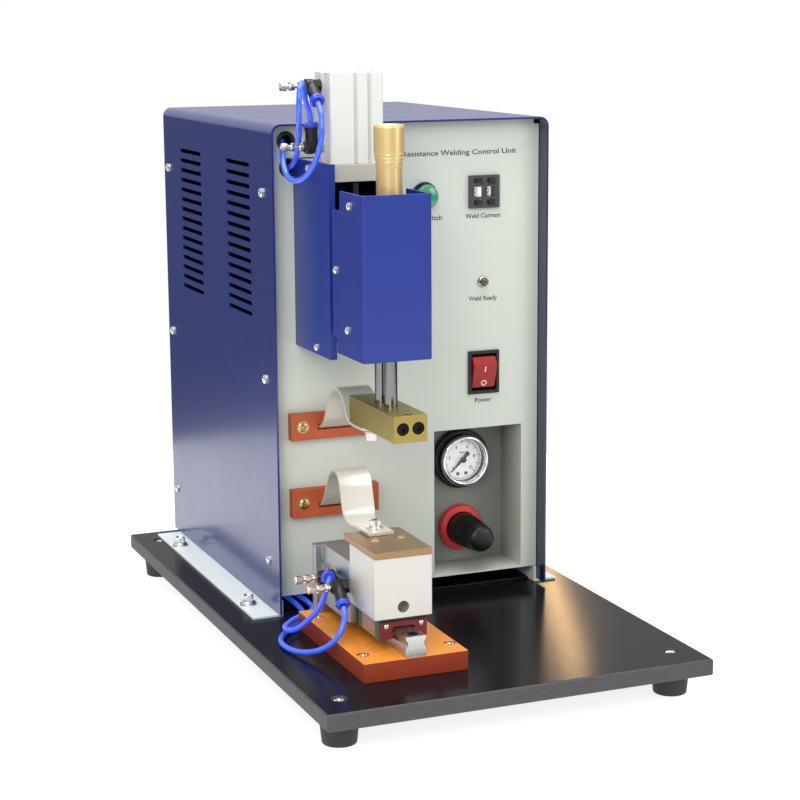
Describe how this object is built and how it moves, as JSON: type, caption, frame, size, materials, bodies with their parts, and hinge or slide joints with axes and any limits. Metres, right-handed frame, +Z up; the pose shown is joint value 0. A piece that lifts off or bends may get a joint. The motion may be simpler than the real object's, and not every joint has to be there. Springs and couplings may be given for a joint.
{
  "type": "bench-top pneumatic spot welder",
  "caption": "Bench-top pneumatic spot welder: blue casing on a black base plate, vertical sprung electrode head above a sliding lower electrode block.",
  "frame": {"origin": "on the bench, under the middle of the base plate", "axes": "+X to the right of the person welding, +Y to the back, +Z up"},
  "size_m": [0.28, 0.48, 0.423],
  "materials": {
    "black_lacquered_plate": "gloss",
    "foot_rubber": "matt",
    "blue_paint": "satin",
    "panel_paint": "satin",
    "inner_steel": "satin",
    "milled_aluminium": "satin",
    "anodised_aluminium": "satin",
    "ground_steel": "satin",
    "chromed_steel": "mirror",
    "brass": "satin",
    "copper": "satin",
    "tinned_copper": "satin",
    "phenolic": "satin",
    "terracotta_phenolic": "matt",
    "black_plastic": "satin",
    "grey_plastic": "satin",
    "red_plastic": "gloss",
    "green_plastic": "gloss",
    "white_plastic": "satin",
    "tube_polyurethane": "gloss",
    "black_anodised": "satin",
    "core_laminations": "matt",
    "circuit_board": "satin"
  },
  "bodies": {
    "base": {"base_plate": "black_lacquered_plate", "rubber_foot_front_left": "foot_rubber", "rubber_foot_front_right": "foot_rubber", "rubber_foot_rear_left": "foot_rubber", "rubber_foot_rear_right": "foot_rubber", "mounting_angle_left": "milled_aluminium", "mounting_angle_right": "milled_aluminium", "cover": "blue_paint", "front_panel": "panel_paint", "chassis": "inner_steel", "thumbwheel_housing": "black_plastic", "indicator_lamp": "chromed_steel", "button_collar": "black_plastic", "rocker_bezel": "black_plastic", "gauge_case": "black_plastic", "regulator_body": "black_plastic", "upper_strap_insulator": "terracotta_phenolic", "lower_strap_insulator": "terracotta_phenolic", "upper_strap": "tinned_copper", "lower_strap": "tinned_copper", "transformer_core": "core_laminations", "transformer_coil": "copper", "valve_block": "black_plastic", "control_board": "circuit_board", "head_channel": "blue_paint", "cylinder_mount_plate": "milled_aluminium", "upper_cylinder": "anodised_aluminium", "insulator_front": "phenolic", "insulator_rear": "phenolic", "lower_rail": "ground_steel", "lower_cylinder": "anodised_aluminium", "flow_valve_upper_top": "black_plastic", "flow_valve_upper_bottom": "black_plastic", "flow_valve_lower_rear": "black_plastic", "flow_valve_lower_front": "black_plastic", "air_tube_upper_top": "tube_polyurethane", "air_tube_upper_bottom": "tube_polyurethane", "air_tube_lower_rear": "tube_polyurethane", "air_tube_lower_front": "tube_polyurethane"},
    "head": {"head_carriage": "black_anodised", "head_cover": "blue_paint", "cylinder_rod": "chromed_steel", "force_spring": "ground_steel"},
    "electrode_arm": {"guide_rods": "chromed_steel", "electrode_bar": "brass", "electrode_clamp": "brass"},
    "adjuster": {"force_adjuster": "brass"},
    "lower_slide": {"lower_carriage": "ground_steel", "lower_block": "milled_aluminium", "lower_platen": "copper"},
    "regulator_handwheel": {"regulator_knob": "black_plastic"},
    "gauge_pointer": {"gauge_needle": "black_plastic"},
    "power_paddle": {"rocker_paddle": "red_plastic"},
    "push_button": {"button_cap": "green_plastic"},
    "tens_wheel": {"digit_wheel_tens": "white_plastic"},
    "units_wheel": {"digit_wheel_units": "white_plastic"},
    "tens_up": {"tens_up_button": "grey_plastic"},
    "tens_down": {"tens_down_button": "grey_plastic"},
    "units_up": {"units_up_button": "grey_plastic"},
    "units_down": {"units_down_button": "grey_plastic"}
  },
  "joints": [
    {"name": "head_stroke", "type": "slide", "parent": "base", "child": "head", "axis": [0, 0, -1], "range_m": [0, 0.025], "deforming": ["upper_strap"]},
    {"name": "electrode_float", "type": "slide", "parent": "head", "child": "electrode_arm", "axis": [0, 0, 1], "range_m": [0, 0.006], "stiffness_N_per_m": 6000, "springref_m": -0.004, "deforming": ["force_spring", "upper_strap"]},
    {"name": "force_adjust", "type": "hinge", "parent": "head", "child": "adjuster", "pos_m": [-0.0545, -0.1393, 0.3675], "axis": [0, 0, 1], "range_deg": [-1080, 1080]},
    {"name": "lower_stroke", "type": "slide", "parent": "base", "child": "lower_slide", "axis": [0, -1, 0], "range_m": [0, 0.015], "deforming": ["lower_strap"]},
    {"name": "regulator_turn", "type": "hinge", "parent": "base", "child": "regulator_handwheel", "pos_m": [0.063, -0.01, 0.07], "axis": [0, -1, 0], "range_deg": [-720, 720]},
    {"name": "gauge_sweep", "type": "hinge", "parent": "base", "child": "gauge_pointer", "pos_m": [0.063, 0.005, 0.1245], "axis": [0, 1, 0], "range_deg": [0, 270], "stiffness_Nm_per_rad": 0.000002},
    {"name": "power_rock", "type": "hinge", "parent": "base", "child": "power_paddle", "pos_m": [0.0671, -0.019, 0.19745], "axis": [-1, 0, 0], "range_deg": [0, 16]},
    {"name": "button_press", "type": "slide", "parent": "base", "child": "push_button", "axis": [0, 1, 0], "range_m": [0, 0.003], "stiffness_N_per_m": 600, "springref_m": -0.001},
    {"name": "tens_turn", "type": "hinge", "parent": "base", "child": "tens_wheel", "pos_m": [0.0618, -0.0125, 0.3325], "axis": [1, 0, 0], "continuous": true},
    {"name": "units_turn", "type": "hinge", "parent": "base", "child": "units_wheel", "pos_m": [0.0722, -0.0125, 0.3325], "axis": [1, 0, 0], "continuous": true},
    {"name": "tens_up_press", "type": "slide", "parent": "base", "child": "tens_up", "axis": [0, 1, 0], "range_m": [0, 0.0014], "stiffness_N_per_m": 300, "springref_m": -0.0005},
    {"name": "tens_down_press", "type": "slide", "parent": "base", "child": "tens_down", "axis": [0, 1, 0], "range_m": [0, 0.0014], "stiffness_N_per_m": 300, "springref_m": -0.0005},
    {"name": "units_up_press", "type": "slide", "parent": "base", "child": "units_up", "axis": [0, 1, 0], "range_m": [0, 0.0014], "stiffness_N_per_m": 300, "springref_m": -0.0005},
    {"name": "units_down_press", "type": "slide", "parent": "base", "child": "units_down", "axis": [0, 1, 0], "range_m": [0, 0.0014], "stiffness_N_per_m": 300, "springref_m": -0.0005}
  ]
}
